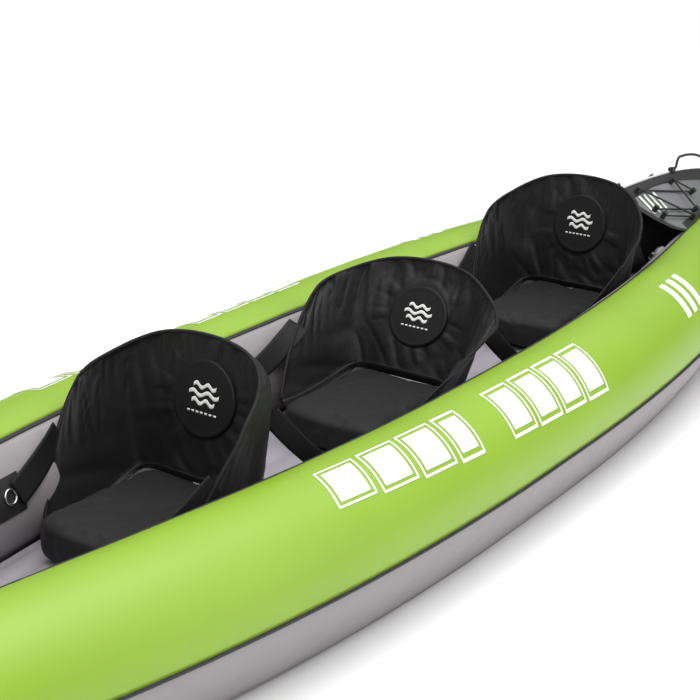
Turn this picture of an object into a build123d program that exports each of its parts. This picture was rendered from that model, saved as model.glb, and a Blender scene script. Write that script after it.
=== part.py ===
from build123d import *
import os
from math import asin, atan, cos, degrees, radians, sin, sqrt, tan

# Three-seat inflatable kayak with a fabric hull cover. Millimetres, +X to the bow, +Y to
# port, +Z up. The origin is on the ground below the middle of the hull.
os.makedirs("parts", exist_ok=True)

# Hull
hull_length = 3800.0
hull_beam = 950.0            # over the seam piping
tip_half_beam = 50.0
plan_fullness = 2.62         # exponent of the waterline curve
tube_radius = 134.0          # side tube with its fabric cover
tube_taper = 0.85            # share of the radius lost at the very tip
taper_fullness = 5.7
tube_gap = 2.5               # half of the room between the tubes where they meet
tube_blend = 4.0             # softness of the bend where the tubes start to touch
keel_clearance = 3.4         # between the tubes and the keel line at the ends
keel_drop = 20.0             # more of the same amidships, where the floor bulges down
keel_flat = 0.08             # share of the half length that lies flat on the ground
keel_rise = 44.0
stem_rise = 230.0
stem_fullness = 10
cover_end = 1840.0           # the tubes and their covers stop here, under the nose caps
station_shares = (0.16, 0.32, 0.46, 0.59, 0.70, 0.79, 0.87, 0.935, 1.0)
nose_overlap = 2.0           # the nose cap stands out over the covers
nose_crown = 5.0
nose_rounding = 0.94
nose_shares = (0.0, 0.45, 0.8, 1.0)
ground_depth = 100.0         # block that cuts the bottom flat

# Fabric
fabric = 1.2                 # thickness of the laminated covers
fabric_gap = 0.3             # cover to air chamber
chine_share = 0.47           # chine stands out this share of a radius from the tube axis
bottom_thickness = 2.4
bottom_shave = 0.6           # flattened where the hull stands on the ground
piping_radius = 2.6
piping_angle = -6.0          # degrees up from the outboard horizontal
piping_arcs = 6
binding_angle = 120.6
binding_half_width = 1.9     # degrees
binding_gap = 0.3            # degrees
binding_thickness = 2.5
inner_cover_end = 246.0

# Inflatable floor
floor_thickness = 82.0
floor_half_length = 1300.0
floor_side_gap = 2.0
floor_edge_radius = 14.0

# Bow and stern decks
deck_apex = 1100.0           # front end of the ridge, distance from amidships
deck_shoulder = 1240.0       # where the deck edge meets the side tubes
deck_end = 1832.0
deck_ridge_height = 380.0
deck_tip_height = 300.0
deck_ridge_fall = 2.5
deck_thickness = 1.5
deck_ridge_thickness = 1.8
deck_stations = (1080.0, 1180.0, 1240.0, 1340.0, 1450.0, 1560.0, 1680.0, 1770.0, 1832.0)
deck_ridge_piping_radius = 3.0
cord_radius = 2.5
cord_low = 9.5               # height of the lower cords' axis over the deck
cord_high = 15.5
cord_end_gap = 0.7
eyelet_radius = 7.0
eyelet_height = 19.0
eyelet_lift = 1.6
patch_lift = 0.4

# Carry handles
handle_radius = 3.6
handle_start = 1452.0
handle_end = 1722.0
handle_rise = 34.0
handle_straight = 6.0        # of the pins, past the anchor barrels
handle_lean = 4.0
handle_crown = 7.0
handle_fall = 5.0
handle_axis_height = 8.5     # over the deck ridge
anchor_radius = 7.5
anchor_length = 20.0
anchor_bore_clearance = 0.08

# Seats
seat_places = {"front": (528.0, 4.0), "middle": (-145.0, 9.0), "rear": (-905.0, 2.0)}
cushion_length = 330.0
cushion_half_width = 132.0
cushion_thickness = 86.0
cushion_edge_radius = 16.0
seam_radius = 3.0
seat_hinge_height = 90.0     # over the floor
back_half_width = 134.0
back_side_height = 227.0
back_top_height = 258.0
back_thickness = 24.0
back_edge_radius = 7.0
rim_radius = 4.0
emblem_radius = 70.0
emblem_height = 139.0
emblem_thickness = 1.6
wing_thickness = 8.0
shoulder_reach = 122.0
shoulder_half_width = 213.0
shoulder_height = 168.0
wing_reach = 236.0
wing_foot_half_width = 142.0
wing_foot_height = -60.0
wing_low = 6.0               # rear edge, over the seam
strap_thickness = 2.0
strap_width = 50.0
strap_lift = 4.0             # off the anchor patches
strap_room = 1.0             # off the back's rear face
front_strap_span = (0.62, 0.84)  # shares of the wing edge, foot to shoulder
rear_strap_width = 38.0
rear_strap_side = 3.0        # outside the back's edge
rear_strap_heights = (120.0, 158.0)
anchor_share = 0.32          # height of the anchors over the tube axis, in tube radii
soft_gap = 0.4
front_anchor_reach = 318.0
rear_anchor_reach = -120.0
anchor_patch_length = 70.0
anchor_patch_span = 30.0     # degrees round the tube
anchor_patch_thickness = 1.6
ring_radius = 13.0
ring_wire_radius = 2.2
ring_room = 0.6
strap_end_room = ring_radius + ring_wire_radius + 0.5

# Valves
valve_station = -1108.0
valve_angle = 150.0
floor_valve_station = -1010.0
flange_radius = 26.0
flange_height = 4.0
valve_tube_radius = 17.0
valve_tube_length = 26.0
valve_bore_radius = 13.5
valve_web = 3.0
stem_radius = 4.0
stem_clearance = 0.05
button_radius = 8.0
button_height = 4.0
seal_radius = 12.0
seal_thickness = 3.0
plunger_stroke = 5.0
cap_radius = 22.0
cap_thickness = 5.0
cap_hinge_offset = 28.0
hinge_pin_radius = 1.2
hinge_barrel_radius = 2.8
hinge_barrel_length = 12.0
hinge_ear_width = 3.0
hinge_clearance = 0.3
pocket_clearance = 0.5

# Drain and fin base
drain_station = -1420.0
drain_bore_radius = 9.0
drain_wall = 3.0
drain_height = 14.0
drain_flange_radius = 17.0
drain_flange = 2.5
plug_clearance = 0.08
plug_head_radius = 12.0
plug_head_height = 4.0
fin_station = -1150.0
fin_base_length = 190.0
fin_base_width = 42.0
fin_base_height = 13.0
fin_slot_width = 8.0
fin_slot_depth = 9.0
fin_slot_length = 160.0


def share(x):
    """Distance from amidships as a share of the half length."""
    return min(abs(x) / (hull_length / 2), 1.0)


def radius_at(x):
    """Outer radius of a covered side tube."""
    return tube_radius * (1 - tube_taper * share(x) ** taper_fullness)


def tube_y(x):
    """Distance of the tube axis from the centre plane."""
    proud = 2 * piping_radius - fabric
    plan = share(x) ** plan_fullness
    half_beam = (hull_beam / 2 - proud) * (1 - plan) + tip_half_beam * plan
    apart = half_beam - radius_at(x)
    touching = radius_at(x) + tube_gap
    middle = (apart + touching) / 2
    return middle + sqrt((apart - middle) ** 2 + tube_blend**2)


def keel_z(x):
    """Height of the hull's bottom above the ground."""
    beyond = max(share(x) - keel_flat, 0) / (1 - keel_flat)
    return keel_rise * beyond**1.4 + stem_rise * share(x) ** stem_fullness


def tube_z(x):
    """Height of the tube axis."""
    return keel_z(x) + keel_clearance + keel_drop * (1 - share(x) ** 2) + radius_at(x)


def floor_top(x):
    """Height of the inflatable floor's upper face."""
    return keel_z(x) + bottom_thickness + fabric_gap + floor_thickness


def slope_at(x):
    """Rise of the hull's bottom in degrees, positive where it climbs towards +X."""
    return degrees(atan((keel_z(x + 1) - keel_z(x - 1)) / 2))


def on_tube(x, radius, angle, side=1):
    """Point around a side tube, with the angle measured up from the outboard horizontal."""
    y = tube_y(x) + radius * cos(radians(angle))
    z = tube_z(x) + radius * sin(radians(angle))
    return Vector(x, side * y, z)


def hull_stations(end=cover_end):
    """Stations from stern to bow, closer together where the tubes taper."""
    ahead = [end * s for s in station_shares]
    return [-x for x in reversed(ahead)] + [0.0] + ahead


def loft_along(stations, section):
    """Solid through a planar section at each station."""
    return loft([section(x) for x in stations])


def mirror_to_starboard(solid):
    """The same piece on the other side tube."""
    return mirror(solid, about=Plane.XZ)


def mirror_to_stern(solid):
    """The same piece on the other end of the hull."""
    return mirror(solid, about=Plane.YZ)


def closed_face(*edges):
    """Planar face inside a closed run of edges."""
    return Face(Wire(list(edges)))


def polygon_face(*points):
    """Planar face inside a polygon."""
    return Face(Wire.make_polygon([Vector(*p) for p in points], close=True))


def band_section(inner, outer, start, stop, start_room=0.0):
    """Section function of a fabric band round the tube, between two offsets and angles."""

    def section(x):
        low = radius_at(x) + inner
        high = radius_at(x) + outer
        first = start + degrees(start_room / radius_at(x))
        middle = (first + stop) / 2
        return closed_face(
            ThreePointArc(on_tube(x, high, first), on_tube(x, high, middle), on_tube(x, high, stop)),
            Line(on_tube(x, high, stop), on_tube(x, low, stop)),
            ThreePointArc(on_tube(x, low, stop), on_tube(x, low, middle), on_tube(x, low, first)),
            Line(on_tube(x, low, first), on_tube(x, high, first)),
        )

    return section


def tube_section(offset):
    """Section function of a round body on the tube axis."""

    def section(x):
        plane = Plane(origin=(x, tube_y(x), tube_z(x)), x_dir=(0, 1, 0), z_dir=(1, 0, 0))
        return plane * Circle(radius_at(x) + offset)

    return section


def piping_section(x):
    """Round section of the seam piping, drawn in equal arcs."""
    centre = on_tube(x, radius_at(x) - fabric + piping_radius, piping_angle)
    turns = [radians(180 * n / piping_arcs) for n in range(2 * piping_arcs)] + [0.0]
    rim = [centre + Vector(0, cos(turn), sin(turn)) * piping_radius for turn in turns]
    return closed_face(*[ThreePointArc(*rim[first : first + 3]) for first in range(0, 2 * piping_arcs, 2)])


def lower_section(x):
    """Grey side panel: round the tube below the piping, then straight to the chine."""
    radius = radius_at(x)
    start = piping_angle - degrees((piping_radius + fabric_gap) / radius)
    chine_y = chine_share * radius
    chine_drop = tube_z(x) - keel_z(x)
    distance = sqrt(chine_y**2 + chine_drop**2)
    bearing = -degrees(asin(chine_drop / distance))
    leave = bearing + degrees(asin(sqrt(1 - (radius / distance) ** 2)))
    normal = Vector(0, cos(radians(leave)), sin(radians(leave)))
    chine = Vector(x, tube_y(x) + chine_y, keel_z(x))
    left = on_tube(x, radius, leave)
    # The panel stops just above the bottom panel that it is welded to.
    stop = (bottom_thickness + fabric_gap) / (left.Z - chine.Z)
    foot = chine + (left - chine) * stop
    middle = (start + leave) / 2
    inner = radius - fabric
    return closed_face(
        ThreePointArc(on_tube(x, radius, start), on_tube(x, radius, middle), left),
        Line(left, foot),
        Line(foot, foot - normal * fabric),
        Line(foot - normal * fabric, on_tube(x, inner, leave)),
        ThreePointArc(on_tube(x, inner, leave), on_tube(x, inner, middle), on_tube(x, inner, start)),
        Line(on_tube(x, inner, start), on_tube(x, radius, start)),
    )


def bottom_section(x):
    """Flat section of the hull's bottom panel, a little low so that it can be shaved flat."""
    half_width = tube_y(x) + chine_share * radius_at(x)
    low = keel_z(x) - bottom_shave
    high = keel_z(x) + bottom_thickness
    return polygon_face((x, -half_width, low), (x, half_width, low), (x, half_width, high), (x, -half_width, high))


def floor_half_width(x):
    """The floor fills the room between the side tubes at the level of its upper face."""
    above = floor_top(x) - tube_z(x)
    return tube_y(x) - sqrt(radius_at(x) ** 2 - above**2) - floor_side_gap


def floor_section(x):
    """Rounded section of the inflatable floor."""
    middle = floor_top(x) - floor_thickness / 2
    plane = Plane(origin=(x, 0, middle), x_dir=(0, 1, 0), z_dir=(1, 0, 0))
    return plane * RectangleRounded(2 * floor_half_width(x), floor_thickness, floor_edge_radius)


def make_side_chamber():
    """Port air chamber, closed by its own skin and filled with air."""
    return loft_along(hull_stations(), tube_section(-fabric - fabric_gap))


def make_top_cover():
    """Green cover from the seam piping over the top of the tube to the inner binding."""
    stop = binding_angle - binding_half_width - binding_gap
    room = piping_radius + fabric_gap
    return loft_along(hull_stations(), band_section(-fabric, 0, piping_angle, stop, room))


def make_inner_cover():
    """Grey cover from the inner binding down the inside wall to below the floor."""
    start = binding_angle + binding_half_width + binding_gap
    return loft_along(hull_stations(), band_section(-fabric, 0, start, inner_cover_end))


def make_binding():
    """Black tape over the edge where the green cover meets the grey one."""
    start = binding_angle - binding_half_width
    stop = binding_angle + binding_half_width
    return loft_along(hull_stations(), band_section(-fabric, binding_thickness - fabric, start, stop))


def make_bottom_cover():
    """Bottom panel from chine to chine, flat where it lies on the ground."""
    panel = loft_along(hull_stations(), bottom_section)
    ground = Pos(0, 0, -ground_depth / 2) * Box(hull_length, hull_beam, ground_depth)
    return panel - ground


def make_floor_chamber():
    """Inflatable floor, lying on the bottom panel between the side tubes."""
    shares = (0.2, 0.4, 0.6, 0.8, 1.0)
    ahead = [floor_half_length * s for s in shares]
    return loft_along([-x for x in reversed(ahead)] + [0.0] + ahead, floor_section)


def make_nose_cap():
    """Rounded cap over the ends of both tubes at the bow."""
    start = cover_end + fabric_gap
    length = hull_length / 2 - start
    half_width = tube_y(cover_end) + radius_at(cover_end) + nose_overlap
    low = keel_z(cover_end) - nose_overlap
    high = tube_z(cover_end) + radius_at(cover_end) + nose_crown
    faces = []
    for along in nose_shares:
        scale = sqrt(1 - (nose_rounding * along) ** 2)
        plane = Plane(origin=(start + along * length, 0, (low + high) / 2), x_dir=(0, 1, 0), z_dir=(1, 0, 0))
        height = (high - low) * (0.35 + 0.65 * scale)
        faces.append(plane * RectangleRounded(2 * half_width * scale, height, 0.3 * height * scale))
    return loft(faces)


def ridge_z(x):
    """Height of the deck ridge over the centre plane."""
    along = max(abs(x) - deck_apex, 0) / (deck_end - deck_apex)
    return deck_ridge_height - (deck_ridge_height - deck_tip_height) * along**deck_ridge_fall


def deck_edge(x, lift=0.0):
    """Point where the deck is sewn to the tube's binding."""
    return on_tube(x, radius_at(x) + binding_thickness - fabric + fabric_gap + lift, binding_angle - 1)


def deck_z(x, y):
    """Height of the deck's upper face away from the ridge."""
    edge = deck_edge(x, deck_thickness)
    return ridge_z(x) - (ridge_z(x) - edge.Z) * abs(y) / edge.Y


def deck_section(x):
    """Tent-shaped section of a deck."""
    low = deck_edge(x)
    high = deck_edge(x, deck_thickness)
    under = ridge_z(x) - deck_ridge_thickness
    return polygon_face(
        (x, 0, ridge_z(x)),
        (x, high.Y, high.Z),
        (x, low.Y, low.Z),
        (x, 0, under),
        (x, -low.Y, low.Z),
        (x, -high.Y, high.Z),
    )


def make_deck():
    """Bow deck, with its cockpit end cut to a rounded edge."""
    sheet = loft_along(deck_stations, deck_section)
    half_width = deck_edge(deck_shoulder, deck_thickness).Y + 1
    rounded = Plane(origin=(deck_shoulder, 0, 0)) * Ellipse(deck_shoulder - deck_apex, half_width)
    kept = extrude(rounded, amount=2 * deck_ridge_height)
    tail_length = hull_length / 2 - deck_shoulder
    kept += Pos(deck_shoulder + tail_length / 2, 0, deck_ridge_height) * Box(
        tail_length, 2 * half_width, 2 * deck_ridge_height
    )
    return sheet & kept


def rounded_path(points, name):
    """Straight runs joined by arcs as large as the runs allow, with the radii printed."""
    corners = [Vector(*p) for p in points]
    radii = []
    for before, corner, after in zip(corners, corners[1:], corners[2:]):
        turn = radians((corner - before).get_angle(after - corner))
        shorter = min((corner - before).length, (after - corner).length)
        radii.append(0.45 * shorter / tan(turn / 2))
    print(name, "bend radii", [round(r) for r in radii])
    return FilletPolyline(*corners, radius=radii)


def round_sweep(path, radius):
    """Round bar along a path."""
    start = Plane(origin=path @ 0, z_dir=path % 0)
    return sweep(start * Circle(radius), path=path)


def make_ridge_piping():
    """Pale piping along the forward stretch of the deck ridge."""
    lift = deck_ridge_piping_radius + patch_lift
    reach = (deck_apex + 14, 1170.0, 1260.0, 1350.0, handle_start - 22)
    path = rounded_path([(x, 0, ridge_z(x) + lift) for x in reach], "ridge piping")
    return round_sweep(path, deck_ridge_piping_radius)


# Cords of one half deck: from eyelet to eyelet as (x, y), and whether the cord crosses over.
deck_eyelets = {
    "ridge_fore": (1178.0, 22.0),
    "edge_fore": (1160.0, 84.0),
    "ridge_mid": (1392.0, 22.0),
    "edge_low": (1164.0, 107.0),
    "edge_mid": (1330.0, 118.0),
    "patch_top": (1470.0, 50.0),
    "patch_low": (1392.0, 96.0),
}
deck_cords = (
    ("ridge_fore", "patch_top", False),
    ("ridge_fore", "edge_mid", True),
    ("edge_fore", "patch_low", False),
    ("ridge_mid", "patch_low", True),
    ("ridge_mid", "patch_top", True),
    ("edge_low", "edge_mid", False),
)


def deck_normal(x, side):
    """Unit normal of the deck's near half, pointing up."""
    edge = deck_edge(x, deck_thickness)
    return Vector(0, side * (ridge_z(x) - edge.Z), edge.Y).normalized()


def on_deck(place, lift, side):
    """Point at a height over one half of the deck."""
    x, y = place
    return Vector(x, side * y, deck_z(x, y)) + deck_normal(x, side) * lift


def make_eyelets(side):
    """Round cord eyelets on one half of the bow deck."""
    studs = []
    for place in deck_eyelets.values():
        foot = on_deck(place, eyelet_lift, side)
        plane = Plane(origin=foot, x_dir=(1, 0, 0), z_dir=deck_normal(place[0], side))
        studs.append(plane * extrude(Circle(eyelet_radius), amount=eyelet_height))
    return studs


def make_deck_cords(side):
    """Elastic cords stretched between the eyelets of one half deck."""
    cords = []
    for first, last, over in deck_cords:
        lift = cord_high if over else cord_low
        start = on_deck(deck_eyelets[first], lift, side)
        stop = on_deck(deck_eyelets[last], lift, side)
        along = (stop - start).normalized()
        begin = start + along * (eyelet_radius + cord_end_gap)
        length = (stop - start).length - 2 * (eyelet_radius + cord_end_gap)
        cords.append(Plane(origin=begin, z_dir=along) * extrude(Circle(cord_radius), amount=length))
    return cords


def handle_frame():
    """Plane whose X runs along the handle's pivot line, from the deck peak to the tip."""
    begin = Vector(handle_start, 0, ridge_z(handle_start) + handle_axis_height)
    end = Vector(handle_end, 0, ridge_z(handle_end) + handle_axis_height)
    along = (end - begin).normalized()
    return Plane(origin=begin, x_dir=along, z_dir=along.cross(Vector(0, 1, 0))), (end - begin).length


def make_handle():
    """Cord handle: pins in the two anchors, joined by a low arch."""
    plane, length = handle_frame()
    points = (
        (-anchor_length / 2, 0, 0),
        (anchor_length + handle_straight, 0, 0),
        (anchor_length + handle_straight + handle_lean, 0, handle_rise),
        (length * 0.38, 0, handle_rise + handle_crown),
        (length * 0.64, 0, handle_rise + handle_crown - handle_fall),
        (length - anchor_length - 26, 0, handle_rise - 12),
        (length - anchor_length - handle_straight - 1, 0, 0),
        (length + anchor_length / 2, 0, 0),
    )
    arch = round_sweep(rounded_path(points, "handle"), handle_radius)
    return plane.location * arch


def make_handle_anchors():
    """Barrels sewn to the deck ridge, one at each end of a handle."""
    plane, length = handle_frame()
    barrels = []
    for centre in (0.0, length):
        across = Plane(origin=(centre - anchor_length / 2, 0, 0), x_dir=(0, 1, 0), z_dir=(1, 0, 0))
        barrel = extrude(across * Circle(anchor_radius), amount=anchor_length)
        bore = extrude(across * Circle(handle_radius + anchor_bore_clearance), amount=anchor_length)
        barrels.append(plane.location * (barrel - bore))
    return barrels


def seat_location(place):
    """Frame of a seat, with its hinge line as Y, tilted with the floor under the cushion."""
    rise = floor_top(place[0] + cushion_length) - floor_top(place[0])
    tilt = degrees(atan(rise / cushion_length))
    foot = Location((place[0], 0, floor_top(place[0])), (0, -tilt, 0))
    return foot * Location((0, 0, seat_hinge_height))


def make_cushion(place):
    """Foam cushion, lying on the floor in front of the backrest."""
    low = fabric_gap - seat_hinge_height
    block = Pos(cushion_length / 2, 0, low + cushion_thickness / 2) * Box(
        cushion_length, 2 * cushion_half_width, cushion_thickness
    )
    rounded = [e for e in block.edges() if e.center().X > 1]
    block = fillet(rounded, cushion_edge_radius)
    rear = block.faces().sort_by(Axis.X)[0]
    return seat_location(place) * fillet(rear.edges(), seam_radius)


def make_seat_seam(place):
    """Corded seam that the backrest folds about."""
    roller = Rot(90, 0, 0) * Cylinder(seam_radius, 2 * cushion_half_width - 2 * cushion_edge_radius)
    return seat_location(place) * roller


def leaned(place, solid):
    """A piece of the backrest, reclined about the seam and placed."""
    return seat_location(place) * (Rot(0, -place[1], 0) * solid)


def make_back(place):
    """Padded middle panel of the backrest, arched at the top."""
    low = seam_radius + soft_gap
    outline = closed_face(
        Line((0, -back_half_width, low), (0, back_half_width, low)),
        Line((0, back_half_width, low), (0, back_half_width, back_side_height)),
        ThreePointArc(
            (0, back_half_width, back_side_height), (0, 0, back_top_height), (0, -back_half_width, back_side_height)
        ),
        Line((0, -back_half_width, back_side_height), (0, -back_half_width, low)),
    )
    panel = extrude(outline, amount=back_thickness, dir=(-1, 0, 0))
    rounded = [e for e in panel.edges() if e.center().Z > low + 1]
    return leaned(place, fillet(rounded, back_edge_radius))


def make_rim(place):
    """Piping over the arched top of the backrest."""
    out = rim_radius + soft_gap
    reach = back_half_width - back_edge_radius
    arch_rise = back_top_height - back_side_height
    arch_radius = (back_half_width**2 + arch_rise**2) / (2 * arch_rise)
    end_height = back_top_height - arch_radius + sqrt((arch_radius + out) ** 2 - reach**2)
    arch = ThreePointArc(
        (-back_thickness / 2, -reach, end_height),
        (-back_thickness / 2, 0, back_top_height + out),
        (-back_thickness / 2, reach, end_height),
    )
    return leaned(place, round_sweep(arch, rim_radius))


def make_emblem(place):
    """Round patch on the front of the backrest."""
    face = Plane(origin=(fabric_gap, 0, emblem_height), x_dir=(0, 1, 0), z_dir=(1, 0, 0))
    return leaned(place, extrude(face * Circle(emblem_radius), amount=emblem_thickness))


def wing_edge(up, side, out=0.0):
    """Point on the front edge of a side wing; up is 0 at the foot and 1 at the shoulder."""
    x = wing_reach + (shoulder_reach - wing_reach) * up
    y = wing_foot_half_width + (shoulder_half_width - wing_foot_half_width) * up
    z = wing_foot_height + (shoulder_height - wing_foot_height) * up
    return Vector(x, side * (y + out), z)


def make_wing(place, side):
    """Soft side wing from the backrest's edge forward to its slanted front edge."""
    inner = back_half_width + soft_gap
    outer = inner + wing_thickness
    high = back_side_height - back_edge_radius
    back_x = -back_thickness / 2
    rear = polygon_face(
        (back_x, side * inner, wing_low),
        (back_x, side * outer, wing_low),
        (back_x, side * outer, high),
        (back_x, side * inner, high),
    )
    front = polygon_face(
        wing_edge(0, side), wing_edge(0, side, wing_thickness), wing_edge(1, side, wing_thickness), wing_edge(1, side)
    )
    return leaned(place, loft([rear, front]))


def wall_point(x, z, lift, side):
    """Point on the inner wall of a tube at a height, lifted off it towards the middle."""
    radius = radius_at(x)
    angle = 180 - degrees(asin((z - tube_z(x)) / radius))
    return on_tube(x, radius + lift, angle, side)


def strap_between(start, stop, side):
    """Flat webbing between two end lines, each given by its lower and upper point."""
    out = Vector(0, side * strap_thickness, 0)
    first = polygon_face(start[0], start[0] + out, start[1] + out, start[1])
    last = polygon_face(stop[0], stop[0] + out, stop[1] + out, stop[1])
    return loft([first, last])


def seat_point(place, point):
    """A point of the reclined backrest in the hull's frame."""
    return (seat_location(place) * Location((0, 0, 0), (0, -place[1], 0)) * Location(point)).position


def anchor_height(x):
    """Height of the strap anchors on the inner wall."""
    return tube_z(x) + anchor_share * radius_at(x)


def make_front_strap(place, side):
    """Webbing from the wing's front edge forward to the hull."""
    clear = Vector(soft_gap + fabric_gap, 0, 0)
    middle = wing_thickness / 2 - strap_thickness / 2
    start = [seat_point(place, wing_edge(up, side, middle) + clear) for up in front_strap_span]
    x = place[0] + front_anchor_reach - strap_end_room
    centre = anchor_height(x)
    lift = anchor_patch_thickness + strap_thickness + strap_lift
    stop = [wall_point(x, centre + up * strap_width / 2, lift, side) for up in (-1, 1)]
    return strap_between(start, stop, side)


def make_rear_strap(place, side):
    """Webbing from behind the shoulder back to the hull."""
    rear = -back_thickness / 2 - strap_room
    beside = side * (back_half_width + rear_strap_side)
    start = [seat_point(place, Vector(rear, beside, z)) for z in rear_strap_heights]
    x = place[0] + rear_anchor_reach + strap_end_room
    centre = anchor_height(x)
    lift = anchor_patch_thickness + strap_thickness + strap_lift
    stop = [wall_point(x, centre + up * rear_strap_width / 2, lift, side) for up in (-1, 1)]
    return strap_between(start, stop, side)


def make_anchor_patch(x, side):
    """Welded patch on the inner wall that a seat strap is sewn to."""
    centre = 180 - degrees(asin((anchor_height(x) - tube_z(x)) / radius_at(x)))
    low = fabric_gap
    high = fabric_gap + anchor_patch_thickness
    section = band_section(low, high, centre - anchor_patch_span / 2, centre + anchor_patch_span / 2)
    patch = loft_along((x - anchor_patch_length / 2, x, x + anchor_patch_length / 2), section)
    return patch if side > 0 else mirror_to_starboard(patch)


def make_strap_ring(x, side):
    """Wire ring on an anchor patch that the strap is clipped to."""
    lift = fabric_gap + anchor_patch_thickness + ring_wire_radius + ring_room
    centre = wall_point(x, anchor_height(x), lift, side)
    along = wall_point(x + 5, anchor_height(x + 5), lift, side) - wall_point(x - 5, anchor_height(x - 5), lift, side)
    around = wall_point(x, anchor_height(x) + 2, lift, side) - wall_point(x, anchor_height(x) - 2, lift, side)
    return Plane(origin=centre, x_dir=along, z_dir=along.cross(around)) * Torus(ring_radius, ring_wire_radius)


def valve_frames():
    """Frames of the three inflation valves, each with Z out of the valve."""
    frames = {}
    for name, side in (("port", 1), ("starboard", -1)):
        seat = on_tube(valve_station, radius_at(valve_station), valve_angle, side)
        normal = Vector(0, side * cos(radians(valve_angle)), sin(radians(valve_angle)))
        frames[name] = Plane(origin=seat, x_dir=(1, 0, 0), z_dir=normal)
    frames["floor"] = Plane(origin=(floor_valve_station, 0, floor_top(floor_valve_station)), x_dir=(1, 0, 0))
    return frames


def stack(radius, low, high):
    """Round disc or bar along Z between two heights."""
    return Pos(0, 0, (low + high) / 2) * Cylinder(radius, high - low)


def valve_depth():
    """Depth of the pocket that the valve body and its plunger need."""
    return valve_tube_length + valve_web + seal_thickness + plunger_stroke + 3


def valve_pocket():
    """Room for a valve in the cover and the air chamber."""
    wide = stack(flange_radius + pocket_clearance, -5.5, 10)
    return wide + stack(valve_tube_radius + pocket_clearance, -valve_depth(), 0)


def make_valve_body():
    """Flange, tube and guide web of an inflation valve, with ears and pin for its cap."""
    body = stack(flange_radius, -5.0, flange_height)
    body += stack(valve_tube_radius, -valve_tube_length, 0)
    body -= stack(valve_bore_radius, -valve_tube_length + valve_web, flange_height)
    body -= stack(stem_radius + stem_clearance, -valve_tube_length, flange_height)
    pin_height = flange_height + hinge_barrel_radius + hinge_clearance
    ear_y = hinge_barrel_length / 2 + hinge_clearance + hinge_ear_width / 2
    for side in (-1, 1):
        ear_start = cap_radius + 1.0
        ear_length = cap_hinge_offset + hinge_barrel_radius - ear_start
        ear_low = flange_height - 2.0
        foot = Box(ear_length, hinge_ear_width, pin_height - ear_low)
        ear = Pos(ear_start + ear_length / 2, side * ear_y, (pin_height + ear_low) / 2) * foot
        knuckle = Rot(90, 0, 0) * Cylinder(hinge_barrel_radius, hinge_ear_width)
        ear += Pos(cap_hinge_offset, side * ear_y, pin_height) * knuckle
        body += ear
    pin = Rot(90, 0, 0) * Cylinder(hinge_pin_radius, 2 * ear_y)
    return body + Pos(cap_hinge_offset, 0, pin_height) * pin


def make_valve_plunger():
    """Spring plunger: button, stem and sealing disc."""
    button_low = -valve_tube_length + valve_web + plunger_stroke + 1
    seal_high = -valve_tube_length - fabric_gap
    plunger = stack(button_radius, button_low, button_low + button_height)
    plunger += stack(stem_radius, seal_high, button_low)
    return plunger + stack(seal_radius, seal_high - seal_thickness, seal_high)


def make_valve_cap():
    """Dust cap on its hinge barrel."""
    pin_height = flange_height + hinge_barrel_radius + hinge_clearance
    low = flange_height + hinge_clearance
    cap = stack(cap_radius, low, low + cap_thickness)
    arm_length = cap_hinge_offset - cap_radius + 6
    arm = Pos(cap_hinge_offset - arm_length / 2, 0, pin_height) * Box(arm_length, hinge_barrel_length, 2.4)
    barrel = Pos(cap_hinge_offset, 0, pin_height) * (Rot(90, 0, 0) * Cylinder(hinge_barrel_radius, hinge_barrel_length))
    hole = Pos(cap_hinge_offset, 0, pin_height) * (
        Rot(90, 0, 0) * Cylinder(hinge_pin_radius + stem_clearance, hinge_barrel_length + 2)
    )
    return cap + arm + barrel - hole


def drain_frame():
    """Frame of the drain, square to the bottom panel, with Z into the hull."""
    x = drain_station
    return Location((x, 0, keel_z(x)), (0, -slope_at(x), 0))


def make_drain_body():
    """Drain socket through the bottom panel."""
    outer = drain_bore_radius + drain_wall
    body = stack(outer, -1, drain_height)
    low = bottom_thickness + 1.2
    body += stack(drain_flange_radius, low, low + drain_flange)
    body -= stack(drain_bore_radius, -2, drain_height + 1)
    return drain_frame() * body


def make_drain_plug():
    """Push-in plug with a head inside the hull."""
    plug = stack(drain_bore_radius - plug_clearance, 0, drain_height + fabric_gap)
    plug += stack(plug_head_radius, drain_height + fabric_gap, drain_height + fabric_gap + plug_head_height)
    return drain_frame() * plug


def make_fin_base():
    """Slide-in base for the fin, welded under the stern."""
    top = -bottom_shave - 0.9
    block = Pos(0, 0, top - fin_base_height / 2) * Box(fin_base_length, fin_base_width, fin_base_height)
    block = fillet(block.edges().filter_by(Axis.Z), 12)
    slot = Pos(-(fin_base_length - fin_slot_length) / 2, 0, top - fin_base_height + fin_slot_depth / 2) * Box(
        fin_slot_length + 1, fin_slot_width, fin_slot_depth
    )
    frame = Location((fin_station, 0, keel_z(fin_station)), (0, -slope_at(fin_station), 0))
    return frame * (block - slot)


def save(name, *solids):
    """One node: a single solid, or a group of separate ones."""
    flat = []
    for solid in solids:
        flat.extend(solid.solids())
    shape = flat[0] if len(flat) == 1 else Compound(children=flat)
    export_step(shape, f"parts/{name}.step")


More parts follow.
